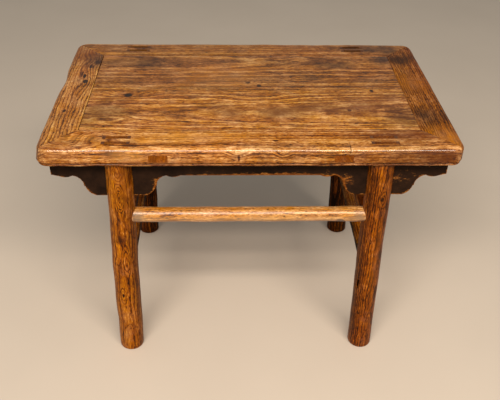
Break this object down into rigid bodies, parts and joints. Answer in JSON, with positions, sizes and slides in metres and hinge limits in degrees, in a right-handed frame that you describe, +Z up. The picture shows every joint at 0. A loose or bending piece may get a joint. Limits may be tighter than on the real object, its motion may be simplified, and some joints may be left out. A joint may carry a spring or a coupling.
{
  "type": "kang table",
  "caption": "Low rectangular wooden table with round splayed legs, framed top, shaped aprons and round stretchers",
  "frame": {"origin": "on the floor under the middle of the table top", "axes": "+X along the table's length to the right seen from the front, +Y from the front to the back, +Z up"},
  "size_m": [0.76, 0.46, 0.51],
  "materials": {
    "top_elm": "worn waxed elm",
    "panel_elm": "worn waxed elm",
    "batten_wood": "rough dark timber",
    "leg_elm": "waxed elm, reddish brown",
    "wedge_wood": "dark hardwood end grain",
    "apron_lacquer": "worn black lacquer on wood",
    "stretcher_elm": "worn waxed elm"
  },
  "bodies": {
    "root": {"front_rail": "top_elm", "rear_rail": "top_elm", "left_end_rail": "top_elm", "right_end_rail": "top_elm", "front_panel_board": "panel_elm", "rear_panel_board": "panel_elm", "left_batten": "batten_wood", "right_batten": "batten_wood", "front_left_leg": "leg_elm", "front_right_leg": "leg_elm", "rear_left_leg": "leg_elm", "rear_right_leg": "leg_elm", "leg_tenon_wedges": "wedge_wood", "front_apron": "apron_lacquer", "rear_apron": "apron_lacquer", "left_end_apron": "apron_lacquer", "right_end_apron": "apron_lacquer", "front_stretcher": "stretcher_elm", "rear_stretcher": "stretcher_elm", "left_upper_stretcher": "stretcher_elm", "left_lower_stretcher": "stretcher_elm", "right_upper_stretcher": "stretcher_elm", "right_lower_stretcher": "stretcher_elm"}
  },
  "joints": []
}
